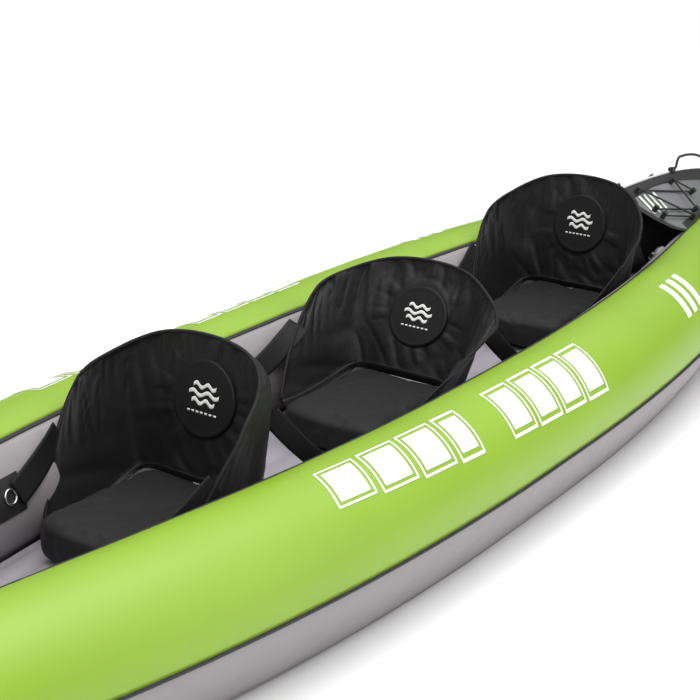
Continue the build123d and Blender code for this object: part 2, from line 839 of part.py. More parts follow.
# Hull
frames = valve_frames()
port_pocket = frames["port"] * valve_pocket()
chamber = make_side_chamber() - port_pocket
inner_cover = make_inner_cover() - port_pocket
top_cover = make_top_cover()
lower_cover = loft_along(hull_stations(), lower_section)
piping = loft_along(hull_stations(), piping_section)
binding = make_binding()
save("port_air_chamber", chamber)
save("starboard_air_chamber", mirror_to_starboard(chamber))
save("port_top_cover", top_cover)
save("starboard_top_cover", mirror_to_starboard(top_cover))
save("port_inner_cover", inner_cover)
save("starboard_inner_cover", mirror_to_starboard(inner_cover))
save("port_lower_cover", lower_cover)
save("starboard_lower_cover", mirror_to_starboard(lower_cover))
save("seam_piping", piping, mirror_to_starboard(piping))
save("cockpit_binding", binding, mirror_to_starboard(binding))
drain_hole = drain_frame() * stack(drain_bore_radius + drain_wall + fabric_gap, -20, 40)
save("bottom_cover", make_bottom_cover() - drain_hole)
save("floor_air_chamber", make_floor_chamber() - frames["floor"] * valve_pocket())
nose_cap = make_nose_cap()
save("bow_nose_cap", nose_cap)
save("stern_nose_cap", mirror_to_stern(nose_cap))

# Decks
deck = make_deck()
ridge_piping = make_ridge_piping()
cords = make_deck_cords(1) + make_deck_cords(-1)
eyelets = make_eyelets(1) + make_eyelets(-1)
handle = make_handle()
anchors = make_handle_anchors()
save("bow_deck", deck)
save("stern_deck", mirror_to_stern(deck))
save("deck_ridge_piping", ridge_piping, mirror_to_stern(ridge_piping))
save("bow_bungee_cord", *cords)
save("stern_bungee_cord", *[mirror_to_stern(c) for c in cords])
save("bungee_eyelets", *eyelets, *[mirror_to_stern(e) for e in eyelets])
save("bow_carry_handle", handle)
save("stern_carry_handle", mirror_to_stern(handle))
save("handle_anchors", *anchors, *[mirror_to_stern(a) for a in anchors])

# Seats
patches = []
rings = []
for name, place in seat_places.items():
    save(f"{name}_seat_cushion", make_cushion(place))
    save(f"{name}_seat_seam", make_seat_seam(place))
    save(f"{name}_seat_back", make_back(place))
    save(f"{name}_seat_rim", make_rim(place))
    save(f"{name}_seat_emblem", make_emblem(place))
    save(f"{name}_seat_wings", *[make_wing(place, side) for side in (1, -1)])
    save(f"{name}_seat_front_straps", *[make_front_strap(place, side) for side in (1, -1)])
    save(f"{name}_seat_rear_straps", *[make_rear_strap(place, side) for side in (1, -1)])
    for reach in (front_anchor_reach, rear_anchor_reach):
        for side in (1, -1):
            patches.append(make_anchor_patch(place[0] + reach, side))
            rings.append(make_strap_ring(place[0] + reach, side))
save("strap_patches", *patches)
save("strap_rings", *rings)

# Valves, drain and fin base
for name, frame in frames.items():
    save(f"{name}_valve_cap", frame * make_valve_cap())
    save(f"{name}_valve_plunger", frame * make_valve_plunger())
save("valve_bodies", *[frame * make_valve_body() for frame in frames.values()])
save("drain_body", make_drain_body())
save("drain_plug", make_drain_plug())
save("fin_base", make_fin_base())
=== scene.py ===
import math

import bmesh
import bpy
from mathutils import Matrix, Vector, noise


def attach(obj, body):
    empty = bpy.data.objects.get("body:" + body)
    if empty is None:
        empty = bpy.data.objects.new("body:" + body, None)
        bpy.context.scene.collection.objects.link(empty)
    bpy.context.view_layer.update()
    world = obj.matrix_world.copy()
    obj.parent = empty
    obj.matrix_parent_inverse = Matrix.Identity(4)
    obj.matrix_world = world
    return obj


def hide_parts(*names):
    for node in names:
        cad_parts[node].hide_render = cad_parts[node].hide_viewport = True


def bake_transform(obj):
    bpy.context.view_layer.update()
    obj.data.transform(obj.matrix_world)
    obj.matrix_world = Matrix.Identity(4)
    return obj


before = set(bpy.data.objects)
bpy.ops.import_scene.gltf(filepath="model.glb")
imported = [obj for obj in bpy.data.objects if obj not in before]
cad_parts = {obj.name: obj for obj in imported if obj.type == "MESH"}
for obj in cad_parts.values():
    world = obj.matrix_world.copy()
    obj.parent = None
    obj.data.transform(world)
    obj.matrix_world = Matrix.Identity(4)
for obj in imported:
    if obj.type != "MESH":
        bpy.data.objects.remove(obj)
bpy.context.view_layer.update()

# Hull shape. The kayak is two long air tubes that meet at both ends, with an inflated floor
# between them. Every cover, cord and seat is set out from these lines, in metres,
# with +X to the bow and +Y to port.
half_length = 1.9
half_beam = 0.475
tip_half_beam = 0.05
tube_radius = 0.134
cover_end = 1.84
piping_radius = 0.0026
fabric = 0.0012


def tube_size(x):
    """Radius of a side tube over its cover."""
    return tube_radius * (1 - 0.85 * min(abs(x) / half_length, 1) ** 5.7)


def keel_height(x):
    """Height of the bottom over the ground."""
    share = min(abs(x) / half_length, 1)
    return 0.044 * (max(share - 0.08, 0) / 0.92) ** 1.4 + 0.23 * share**10


def tube_centre(x):
    """Place of the port tube's axis."""
    share = min(abs(x) / half_length, 1)
    plan = share**2.62
    apart = (half_beam - 2 * piping_radius + fabric) * (1 - plan) + tip_half_beam * plan - tube_size(x)
    touching = tube_size(x) + 0.0025
    middle = (apart + touching) / 2
    y = middle + math.hypot(apart - middle, 0.004)
    return y, keel_height(x) + 0.0034 + 0.02 * (1 - share**2) + tube_size(x)


def on_tube(x, angle, lift=0.0, side=1):
    """Point round a tube, with the angle in degrees up from its outer side."""
    y, z = tube_centre(x)
    reach = tube_size(x) + lift
    turn = math.radians(angle)
    return Vector((x, side * (y + reach * math.cos(turn)), z + reach * math.sin(turn)))


def floor_top(x):
    """Height of the inflated floor's upper side."""
    return keel_height(x) + 0.0847


def ripple(*place):
    """Smooth wandering value from -1 to 1."""
    return noise.noise(Vector(place))


def eased(value, low, high):
    """0 below low, 1 above high and smooth between them."""
    share = min(max((value - low) / (high - low), 0.0), 1.0)
    return share * share * (3 - 2 * share)


# Camera, light and floor. A person's eye view over the bow quarter, with a broad soft light
# from above, so the tops of the tubes shine and the sides fall off gently.
def math_node(tree, operation, *values):
    """Output of a math node fed by sockets or numbers."""
    node = tree.nodes.new("ShaderNodeMath")
    node.operation = operation
    for socket, value in zip(node.inputs, values):
        if isinstance(value, (int, float)):
            socket.default_value = value
        else:
            tree.links.new(value, socket)
    return node.outputs[0]


scene = bpy.context.scene
scene.view_settings.view_transform = "Standard"
camera = bpy.data.objects.new("camera", bpy.data.cameras.new("camera"))
scene.collection.objects.link(camera)
camera.data.lens = 75.3
camera.data.sensor_width = 36
camera.data.clip_start = 0.05
camera.location = (2.337, 1.652, 1.300)
camera.rotation_euler = Vector((-0.759, -0.555, -0.341)).to_track_quat("-Z", "Y").to_euler()
scene.camera = camera

world = bpy.data.worlds.new("studio")
scene.world = world
world.use_nodes = True
world.node_tree.nodes["Background"].inputs["Color"].default_value = (1.0, 1.0, 1.0, 1)
# The sky is brightest overhead, like one large soft box.
sky_horizon = 0.14
sky_overhead = 2.2
sky_focus = 2.6
sky = world.node_tree
heading = sky.nodes.new("ShaderNodeTexCoord")
axes = sky.nodes.new("ShaderNodeSeparateXYZ")
sky.links.new(heading.outputs["Generated"], axes.inputs[0])
upward = math_node(sky, "POWER", math_node(sky, "MAXIMUM", axes.outputs[2], 0.0), sky_focus)
glow = math_node(sky, "MULTIPLY_ADD", upward, sky_overhead, sky_horizon)
sky.links.new(glow, sky.nodes["Background"].inputs["Strength"])

lamps = (
    ("sky_panel", (0.3, 0.6, 3.2), (0.0, 0.0, 0.1), 3.4, 48),
    ("bow_panel", (3.4, 1.2, 2.2), (0.4, 0.1, 0.2), 1.6, 26),
    ("side_panel", (-0.6, 3.4, 1.6), (0.0, 0.2, 0.2), 2.2, 22),
)
for name, place, target, size, power in lamps:
    lamp = bpy.data.lights.new(name, "AREA")
    lamp.size = size
    lamp.energy = power
    holder = bpy.data.objects.new(name, lamp)
    scene.collection.objects.link(holder)
    holder.location = place
    holder.rotation_euler = (Vector(target) - Vector(place)).to_track_quat("-Z", "Y").to_euler()

studio_floor = bpy.data.meshes.new("studio_floor")
studio_floor.from_pydata([(-90, -90, 0), (90, -90, 0), (90, 90, 0), (-90, 90, 0)], [], [(0, 1, 2, 3)])
ground = bpy.data.objects.new("studio_floor", studio_floor)
scene.collection.objects.link(ground)
ground.location.z = -0.0005
paint = bpy.data.materials.new("studio_paint")
paint.use_nodes = True
paint.node_tree.nodes["Principled BSDF"].inputs["Base Color"].default_value = (0.93, 0.93, 0.93, 1)
paint.node_tree.nodes["Principled BSDF"].inputs["Roughness"].default_value = 0.8
studio_floor.materials.append(paint)


# Covers of the side tubes. Each tube wears a laminated polyester skin: lime green from the
# seam piping over the top, grey below it and down the inner wall. The skin is cut flat and
# sewn round the tube, so it gathers a little along its seams.
def node_group(name, inputs, outputs):
    """Empty shader group with named sockets, and its input and output nodes."""
    group = bpy.data.node_groups.new(name, "ShaderNodeTree")
    for label, kind, value in inputs:
        socket = group.interface.new_socket(name=label, in_out="INPUT", socket_type=kind)
        socket.default_value = value
    for label, kind in outputs:
        group.interface.new_socket(name=label, in_out="OUTPUT", socket_type=kind)
    return group, group.nodes.new("NodeGroupInput"), group.nodes.new("NodeGroupOutput")


# Weave: threads that cross each other, as a height from 0 to 1.
weave, given, made = node_group(
    "cloth_weave", [("Threads per metre", "NodeSocketFloat", 900.0)], [("Height", "NodeSocketFloat")]
)
place = weave.nodes.new("ShaderNodeTexCoord")
parts = weave.nodes.new("ShaderNodeSeparateXYZ")
weave.links.new(place.outputs["Object"], parts.inputs[0])
turns = math_node(weave, "MULTIPLY", given.outputs[0], 2 * math.pi)
warp = math_node(weave, "MULTIPLY", math_node(weave, "ADD", parts.outputs[0], parts.outputs[1]), turns)
weft = math_node(weave, "MULTIPLY", math_node(weave, "SUBTRACT", parts.outputs[2], parts.outputs[1]), turns)
crossing = math_node(weave, "MULTIPLY", math_node(weave, "SINE", warp, 0), math_node(weave, "SINE", weft, 0))
height = math_node(weave, "MULTIPLY_ADD", crossing, 0.5, 0.5)
weave.links.new(height, made.inputs[0])

# Crumple: soft dents and finer creases, as a height, with a mask for uneven colour.
crumple, given, made = node_group(
    "cloth_crumple",
    [("Size", "NodeSocketFloat", 20.0), ("Stretch", "NodeSocketVector", (1.0, 1.0, 1.0))],
    [("Height", "NodeSocketFloat"), ("Patches", "NodeSocketFloat")],
)
place = crumple.nodes.new("ShaderNodeTexCoord")
stretch = crumple.nodes.new("ShaderNodeVectorMath")
stretch.operation = "MULTIPLY"
crumple.links.new(place.outputs["Object"], stretch.inputs[0])
crumple.links.new(given.outputs["Stretch"], stretch.inputs[1])
creases = crumple.nodes.new("ShaderNodeTexNoise")
creases.inputs["Detail"].default_value = 5.0
creases.inputs["Roughness"].default_value = 0.55
patches = crumple.nodes.new("ShaderNodeTexNoise")
patches.inputs["Detail"].default_value = 2.0
patches.inputs["Scale"].default_value = 4.0
crumple.links.new(stretch.outputs[0], creases.inputs["Vector"])
crumple.links.new(given.outputs["Size"], creases.inputs["Scale"])
crumple.links.new(place.outputs["Object"], patches.inputs["Vector"])
crumple.links.new(creases.outputs["Fac"], made.inputs["Height"])
crumple.links.new(patches.outputs["Fac"], made.inputs["Patches"])


def uneven_base(name, deep, light, rough_range, size, depth, driver):
    """Material with dents, whose colour and gloss vary with the Height or Patches of the crumple."""
    made = bpy.data.materials.new(name)
    made.use_nodes = True
    tree = made.node_tree
    shader = tree.nodes["Principled BSDF"]
    dented = tree.nodes.new("ShaderNodeGroup")
    dented.node_tree = crumple
    dented.inputs["Size"].default_value = size
    shades = tree.nodes.new("ShaderNodeMix")
    shades.data_type = "RGBA"
    shades.inputs["A"].default_value = (*deep, 1)
    shades.inputs["B"].default_value = (*light, 1)
    tree.links.new(dented.outputs[driver], shades.inputs["Factor"])
    tree.links.new(shades.outputs["Result"], shader.inputs["Base Color"])
    gloss = tree.nodes.new("ShaderNodeMapRange")
    gloss.inputs["To Min"].default_value = rough_range[0]
    gloss.inputs["To Max"].default_value = rough_range[1]
    tree.links.new(dented.outputs[driver], gloss.inputs["Value"])
    tree.links.new(gloss.outputs["Result"], shader.inputs["Roughness"])
    dents = tree.nodes.new("ShaderNodeBump")
    dents.inputs["Distance"].default_value = depth
    dents.inputs["Strength"].default_value = 1.0
    tree.links.new(dented.outputs["Height"], dents.inputs["Height"])
    return made, shader, dented, dents


def cloth_finish(name, deep, light, rough, threads=900, weave_depth=0.00008, size=20, crumple_depth=0.0006,
                 stretch=(1, 1, 1), sheen=0.0, coat=0.0, gleam=0.5):
    """Woven or coated cloth: uneven colour between two shades, creases and thread relief."""
    made, shader, dented, dents = uneven_base(name, deep, light, (rough - 0.05, rough + 0.07), size,
                                              crumple_depth, "Patches")
    tree = made.node_tree
    dented.inputs["Stretch"].default_value = stretch
    shader.inputs["Specular IOR Level"].default_value = gleam
    shader.inputs["Sheen Weight"].default_value = sheen
    shader.inputs["Sheen Roughness"].default_value = 0.4
    shader.inputs["Coat Weight"].default_value = coat
    shader.inputs["Coat Roughness"].default_value = 0.35
    threads_node = tree.nodes.new("ShaderNodeGroup")
    threads_node.node_tree = weave
    threads_node.inputs["Threads per metre"].default_value = threads
    relief = tree.nodes.new("ShaderNodeBump")
    relief.inputs["Distance"].default_value = weave_depth
    relief.inputs["Strength"].default_value = 0.6
    tree.links.new(threads_node.outputs["Height"], relief.inputs["Height"])
    tree.links.new(dents.outputs["Normal"], relief.inputs["Normal"])
    tree.links.new(relief.outputs["Normal"], shader.inputs["Normal"])
    return made


def new_piece(name, points, faces, finish):
    """Mesh object from its points and faces."""
    mesh = bpy.data.meshes.new(name)
    mesh.from_pydata([tuple(p) for p in points], [], faces)
    mesh.validate()
    mesh.polygons.foreach_set("use_smooth", [True] * len(mesh.polygons))
    mesh.materials.append(finish)
    piece = bpy.data.objects.new(name, mesh)
    scene.collection.objects.link(piece)
    return piece


def skin(name, point, columns, rows, finish, thickness=fabric, flip=False):
    """Thin sheet through point(u, v), with u and v from 0 to 1, thickened behind its face."""
    points = [point(i / columns, j / rows) for i in range(columns + 1) for j in range(rows + 1)]
    faces = []
    for i in range(columns):
        for j in range(rows):
            first = i * (rows + 1) + j
            face = (first, first + rows + 1, first + rows + 2, first + 1)
            faces.append(face[::-1] if flip else face)
    piece = new_piece(name, points, faces, finish)
    wall = piece.modifiers.new("thickness", "SOLIDIFY")
    wall.thickness = thickness
    wall.offset = -1
    wall.use_even_offset = False
    return piece


def settle(piece):
    """Applies the modifiers of a piece to its mesh."""
    graph = bpy.context.evaluated_depsgraph_get()
    mesh = bpy.data.meshes.new_from_object(piece.evaluated_get(graph))
    piece.modifiers.clear()
    piece.data = mesh
    mesh.polygons.foreach_set("use_smooth", [True] * len(mesh.polygons))
    return piece


lime = cloth_finish("lime_cover", (0.225, 0.385, 0.020), (0.262, 0.44, 0.030), 0.42, threads=1400,
                    weave_depth=0.00003, size=26, crumple_depth=0.0007, stretch=(1, 0.5, 0.5), coat=0.15)
grey = cloth_finish("grey_cover", (0.26, 0.24, 0.25), (0.30, 0.28, 0.29), 0.5, threads=1400,
                    weave_depth=0.00003, size=24, crumple_depth=0.0012, stretch=(1.4, 0.35, 0.35), coat=0.08)
piping_angle = -6.0
binding_angle = 120.6
binding_half_width = 1.9
wall_foot_angle = 246


def station(u):
    """Place along the hull, from the stern end of the covers to the bow end."""
    return cover_end * (2 * u - 1)


def top_cover_point(side):
    def point(u, v):
        x = station(u)
        low = piping_angle + math.degrees((piping_radius + 0.0003) / tube_size(x))
        angle = low + (binding_angle - binding_half_width - 0.3 - low) * v
        seam = math.exp(-((angle - low) / 9) ** 2) + 0.6 * math.exp(-((angle - 118) / 7) ** 2)
        gather = 0.0007 * seam * (ripple(x * 60, side * 3, 0) + 0.6 * ripple(x * 130, side * 7, 5))
        slack = 0.0009 * ripple(x * 7, angle / 45, side * 2) * eased(angle, 0, 25)
        return on_tube(x, angle, max(min(gather + slack, 0.0012), 0.0) - 0.0006, side)

    return point


def inner_cover_point(side):
    def point(u, v):
        x = station(u)
        start = binding_angle + binding_half_width + 0.3
        angle = start + (wall_foot_angle - start) * v
        crease = 0.0014 * ripple(x * 16, angle / 60, side * 5) + 0.0007 * ripple(x * 45, angle / 50, side)
        return on_tube(x, angle, max(min(crease + 0.0004, 0.001), -0.0002) - 0.0004, side)

    return point


def lower_cover_point(side):
    def point(u, v):
        x = station(u)
        radius = tube_size(x)
        y, z = tube_centre(x)
        start = piping_angle - math.degrees((piping_radius + 0.0003) / radius)
        chine = Vector((x, side * (y + 0.47 * radius), keel_height(x)))
        drop = z - keel_height(x)
        reach = math.hypot(0.47 * radius, drop)
        leave = -math.degrees(math.asin(drop / reach)) + math.degrees(math.acos(min(radius / reach, 1)))
        crease = 0.0016 * ripple(x * 14, v * 1.5, side * 9) + 0.0008 * ripple(x * 40, v * 2, side * 4)
        lift = (max(min(crease + 0.0004, 0.001), 0.0) - 0.0006) * eased(v, 0, 0.15) * (1 - eased(v, 0.85, 1))
        left = on_tube(x, leave, lift, side)
        if v < 0.6:
            return on_tube(x, start + (leave - start) * v / 0.6, lift, side)
        foot = left.lerp(chine, 1 - 0.0027 / max(left.z - chine.z, 0.004))
        return left.lerp(foot, (v - 0.6) / 0.4)

    return point


def valve_hole(place, outward, name):
    """Round tool that cuts the pocket of an inflation valve."""
    shape = bmesh.new()
    pocket, bore = (0.0265, -0.0055, 0.012), (0.0175, -0.04, 0.0)
    for radius, low, high in (pocket, bore):
        turn = outward.to_track_quat("Z", "Y").to_matrix().to_4x4()
        middle = Matrix.Translation(place) @ turn @ Matrix.Translation((0, 0, (low + high) / 2))
        bmesh.ops.create_cone(shape, cap_ends=True, segments=48, radius1=radius, radius2=radius,
                              depth=high - low, matrix=middle)
    mesh = bpy.data.meshes.new(name)
    shape.to_mesh(mesh)
    shape.free()
    tool = bpy.data.objects.new(name, mesh)
    scene.collection.objects.link(tool)
    return tool


def cut_hole(piece, tool):
    """Cuts a tool's shape out of a piece, and takes the tool away."""
    cut = piece.modifiers.new("hole", "BOOLEAN")
    cut.object = tool
    cut.solver = "EXACT"
    cut.use_self = True
    settle(piece)
    bpy.data.objects.remove(tool)


valve_station = -1.108
valve_angle = 150.0
for tube, side in (("port", 1), ("starboard", -1)):
    top = skin(f"{tube}_green_cover", top_cover_point(side), 560, 34, lime, flip=side > 0)
    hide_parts(f"{tube}_top_cover")
    inner = skin(f"{tube}_inner_wall", inner_cover_point(side), 420, 26, grey, flip=side > 0)
    outward = on_tube(valve_station, valve_angle, 1, side) - on_tube(valve_station, valve_angle, 0, side)
    cut_hole(inner, valve_hole(on_tube(valve_station, valve_angle, 0, side), outward, f"{tube}_hole_tool"))
    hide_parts(f"{tube}_inner_cover")
    lower = skin(f"{tube}_side_panel", lower_cover_point(side), 420, 24, grey, flip=side < 0)
    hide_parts(f"{tube}_lower_cover")
    for piece in (top, inner, lower):
        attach(piece, "root")


# Seam piping and cockpit binding. A black bead is sewn into the seam between the green and
# grey cloth, and a folded black tape is stitched over the edge round the cockpit.
trim_black = cloth_finish("black_trim", (0.012, 0.012, 0.013), (0.022, 0.022, 0.023), 0.5, threads=1100,
                          weave_depth=0.00015, size=60, crumple_depth=0.0004)


def bead(name, path, radius, finish, sides, swell=None):
    """Round cord or bead along close points, with an optional swell along its length."""
    points, faces = [], []
    across = None
    for i, at in enumerate(path):
        along = (path[min(i + 1, len(path) - 1)] - path[max(i - 1, 0)]).normalized()
        if across is None:
            across = along.cross(Vector((0, 0, 1)) if abs(along.z) < 0.9 else Vector((1, 0, 0))).normalized()
        across = (across - along * across.dot(along)).normalized()
        third = along.cross(across)
        reach = radius * (swell(i, len(path)) if swell else 1.0)
        for k in range(sides):
            turn = 2 * math.pi * k / sides
            points.append(at + (across * math.cos(turn) + third * math.sin(turn)) * reach)
    for i in range(len(path) - 1):
        for k in range(sides):
            a, b = i * sides + k, i * sides + (k + 1) % sides
            faces.append((a, b, b + sides, a + sides))
    faces.append(tuple(range(sides))[::-1])
    faces.append(tuple(range(len(points) - sides, len(points))))
    return new_piece(name, points, faces, finish)


def joined(name, pieces):
    """Several pieces of one finish as one piece."""
    shape = bmesh.new()
    for piece in pieces:
        shape.from_mesh(piece.data)
    mesh = bpy.data.meshes.new(name)
    shape.to_mesh(mesh)
    shape.free()
    mesh.materials.append(pieces[0].data.materials[0])
    for piece in pieces:
        bpy.data.objects.remove(piece)
    whole = bpy.data.objects.new(name, mesh)
    scene.collection.objects.link(whole)
    return whole


def seam_bead(side):
    steps = 1100
    line = [on_tube(station(i / steps), piping_angle, piping_radius - fabric, side) for i in range(steps + 1)]
    return bead(f"bead_{side}", line, piping_radius, trim_black, 8,
                lambda i, n: 0.94 + 0.06 * math.sin(i * 2.1) + 0.03 * ripple(i * 0.13, side, 0))


def tape_point(side):
    def point(u, v):
        x = station(u)
        crown = 0.0013 * (1 - (2 * v - 1) ** 4) - 0.0001 + 0.0003 * ripple(x * 30, v, side)
        stitch = -0.0004 * math.exp(-((abs(2 * v - 1) - 0.7) / 0.12) ** 2) * (0.5 + 0.5 * math.sin(x * 1500))
        return on_tube(x, binding_angle + binding_half_width * (2 * v - 1), crown + stitch, side)

    return point


piping = joined("seam_bead", [seam_bead(1), seam_bead(-1)])
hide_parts("seam_piping")
tapes = []
for side in (1, -1):
    tapes.append(settle(skin(f"tape_{side}", tape_point(side), 900, 10, trim_black, 0.0024, side > 0)))
binding = joined("cockpit_tape", tapes)
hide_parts("cockpit_binding")
for piece in (piping, binding):
    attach(piece, "root")


# Prints. Plain white slanted bars with an outline are screen printed on the outer side of
# each tube, with three shorter bars near the stern.
print_white = cloth_finish("printed_white", (0.80, 0.84, 0.76), (0.88, 0.90, 0.84), 0.45, threads=1400,
                           weave_depth=0.00003, size=30, crumple_depth=0.0003)
print_lift = 0.0006
print_depth = 0.0004


def printed(name, corners, rows, columns, side):
    """Four-cornered print on a tube, with its corners given as places along and angles."""
    def point(u, v):
        low = [a + (b - a) * u for a, b in zip(corners[0], corners[1])]
        high = [a + (b - a) * u for a, b in zip(corners[3], corners[2])]
        x, angle = (a + (b - a) * v for a, b in zip(low, high))
        slack = 0.0009 * ripple(x * 7, angle / 45, side * 2) * eased(angle, 0, 25)
        return on_tube(x, angle, max(min(slack, 0.0012), 0.0) - 0.0006 + print_lift, side)

    return settle(skin(name, point, columns, rows, print_white, print_depth, side > 0))


def outlined_bar(name, corners, side, stroke_x, stroke_angle):
    """Bar with a line round it: the four strokes of the frame and the fill inside them."""
    (ax, aa), (bx, ba), (cx, ca), (dx, da) = corners
    middle = [sum(c[n] for c in corners) / 4 for n in (0, 1)]

    def inset(share):
        return [tuple(m + (c - m) * share for c, m in zip(corner, middle)) for corner in corners]

    width = abs(ax - bx)
    thin = 1 - 2 * stroke_x / width
    made = []
    outer, inner = corners, inset(thin)
    for n in range(4):
        m = (n + 1) % 4
        made.append(printed(f"{name}_{n}", (outer[n], outer[m], inner[m], inner[n]), 2, 14, side))
    made.append(printed(f"{name}_fill", inset(1 - 4.6 * stroke_x / width), 14, 6, side))
    return made


for tube, side in (("port", 1), ("starboard", -1)):
    bars = []
    bands = [(0.648, 0.092, 51), (0.545, 0.092, 47), (0.442, 0.092, 43), (0.339, 0.070, 39.5),
             (0.175, 0.082, 35.5), (0.083, 0.082, 33), (-0.009, 0.082, 31), (-0.101, 0.082, 29)]
    for n, (start, width, low) in enumerate(bands):
        high = 88 - 4.5 * n / 7
        lean = 0.028
        end = start - width
        corners = ((start, low), (end, low - 1.2), (end - lean, high - 1), (start - lean, high))
        bars += outlined_bar(f"bar_{side}_{n}", corners, side, 0.0045, 1.5)
    for n in range(3):
        start = -0.640 - 0.044 * n
        bars.append(printed(f"short_{side}_{n}", ((start, 36), (start - 0.026, 36), (start - 0.046, 80),
                                                  (start - 0.020, 80)), 16, 5, side))
    prints = joined(f"{tube}_printed_bars", bars)
    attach(prints, "root")


# Inflated floor. A flat drop-in floor of coated cloth, held flat by lengthwise beams inside,
# so its top is a row of shallow tubes. It lies loose on the bottom between the side tubes.
floor_grey = cloth_finish("floor_cloth", (0.27, 0.25, 0.28), (0.32, 0.30, 0.33), 0.5, threads=1200,
                          weave_depth=0.00004, size=30, crumple_depth=0.0006, stretch=(0.4, 1, 1))
floor_length = 1.3
floor_thickness = 0.082
beam_count = 6


def floor_edge(x):
    """Half of the floor's width at a place along the hull."""
    y, z = tube_centre(x)
    return y - math.sqrt(tube_size(x) ** 2 - (floor_top(x) - z) ** 2) - 0.0025


def floor_ring(x, shrink):
    """Points round the floor's section, from the port edge over the top and back below."""
    half, top = floor_edge(x) - shrink, floor_top(x) - shrink * 0.8
    low = floor_top(x) - floor_thickness + shrink * 0.8
    corner = 0.014
    ring = []
    for n in range(61):
        share = 1 - n / 30
        dip = 0.0045 * abs(math.cos(math.pi * beam_count * (share + 1) / 2)) ** 5
        wave = 0.0008 * ripple(x * 20, share * 6, 3)
        ring.append(Vector((x, share * (half - corner), top - dip - 0.0008 + wave)))
    for turn in range(15, 180, 15):
        angle = math.radians(90 + turn)
        middle = top - corner if turn < 90 else low + corner
        across = -(half - corner) + corner * math.cos(angle)
        ring.append(Vector((x, across, middle + corner * math.sin(angle))))
    for n in range(13):
        ring.append(Vector((x, (n / 6 - 1) * (half - corner), low)))
    for turn in range(15, 180, 15):
        angle = math.radians(270 + turn)
        middle = low + corner if turn < 90 else top - corner
        across = half - corner + corner * math.cos(angle)
        ring.append(Vector((x, across, middle + corner * math.sin(angle))))
    return ring


points, faces = [], []
ends = [(0.03, 0.0), (0.012, 0.004), (0.004, 0.012), (0.0, 0.024)]
stations = [-floor_length + inward for shrink, inward in ends]
shrinks = [shrink for shrink, inward in ends]
stations += [-floor_length + 0.024 + (2 * floor_length - 0.048) * n / 220 for n in range(1, 220)]
shrinks += [0.0] * 219
stations += [floor_length - inward for shrink, inward in ends[::-1]]
shrinks += [shrink for shrink, inward in ends[::-1]]
for x, shrink in zip(stations, shrinks):
    points += floor_ring(x, shrink)
count = len(floor_ring(0, 0))
for i in range(len(stations) - 1):
    for k in range(count):
        a, b = i * count + k, i * count + (k + 1) % count
        faces.append((a, b, b + count, a + count))
faces.append(tuple(range(count))[::-1])
faces.append(tuple(range(len(points) - count, len(points))))
air_floor = new_piece("air_floor", points, faces, floor_grey)
floor_valve = Vector((-1.010, 0, floor_top(-1.010)))
cut_hole(air_floor, valve_hole(floor_valve, Vector((0, 0, 1)), "floor_hole_tool"))
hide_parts("floor_air_chamber")
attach(air_floor, "root")


# Seats. Each seat is a foam cushion and a high back whose padded cloth runs round both sides
# of the paddler in one piece, with a bead sewn into its rim. Webbing holds it to the tubes.
seat_black = cloth_finish("seat_nylon", (0.0055, 0.0055, 0.0058), (0.0105, 0.0105, 0.011), 0.42, threads=1500,
                          weave_depth=0.00010, size=34, crumple_depth=0.0012, sheen=0.03, gleam=0.30)
badge_cloth = cloth_finish("badge_cloth", (0.0055, 0.0055, 0.0058), (0.0085, 0.0085, 0.009), 0.5,
                           threads=1500, weave_depth=0.00008, size=20, crumple_depth=0.0003, sheen=0.02,
                           gleam=0.25)
badge_white = cloth_finish("badge_print", (0.72, 0.72, 0.71), (0.82, 0.82, 0.81), 0.5, threads=1500,
                           weave_depth=0.00005, size=40, crumple_depth=0.0002)
seat_trim = cloth_finish("seat_webbing", (0.007, 0.007, 0.008), (0.014, 0.014, 0.015), 0.6, threads=700,
                         weave_depth=0.00025, size=60, crumple_depth=0.0004, gleam=0.25)
cushion_black = cloth_finish("cushion_nylon", (0.007, 0.007, 0.0073), (0.012, 0.012, 0.0124), 0.6,
                             threads=1100, weave_depth=0.00016, size=28, crumple_depth=0.0010, sheen=0.03,
                             gleam=0.25)
seat_places = {"front": (0.528, 4.0), "middle": (-0.145, 9.0), "rear": (-0.905, 2.0)}
# How each soft back hangs off its frame: extra lean in degrees, height of its rim, how far the
# rim has moved forward, how far the port wing has opened and the drop of the other shoulder.
seat_hang = {"front": (-3.7, 1.008, -0.002, -0.60, 0.013), "middle": (1.1, 0.925, -0.024, 0.66, 0.012),
             "rear": (0.9, 1.040, -0.008, -0.06, 0.018)}
hinge_height = 0.09
cushion_length = 0.330
emblem_middle = 0.139
emblem_shift = {"front": (0.012, 0.008), "middle": (0.006, -0.010), "rear": (0.005, 0.006)}
emblem_size = 0.070
rim_line = [(-0.010, 0.000, 0.257), (-0.008, 0.050, 0.2545), (0.000, 0.098, 0.246), (0.020, 0.140, 0.230),
            (0.050, 0.175, 0.211), (0.080, 0.199, 0.195), (0.103, 0.212, 0.178), (0.116, 0.218, 0.158)]
foot_line = [(0.034, 0.000, -0.003), (0.034, 0.050, -0.003), (0.030, 0.098, -0.006), (0.040, 0.130, -0.016),
             (0.080, 0.140, -0.034), (0.135, 0.143, -0.052), (0.190, 0.146, -0.066), (0.250, 0.151, -0.076)]


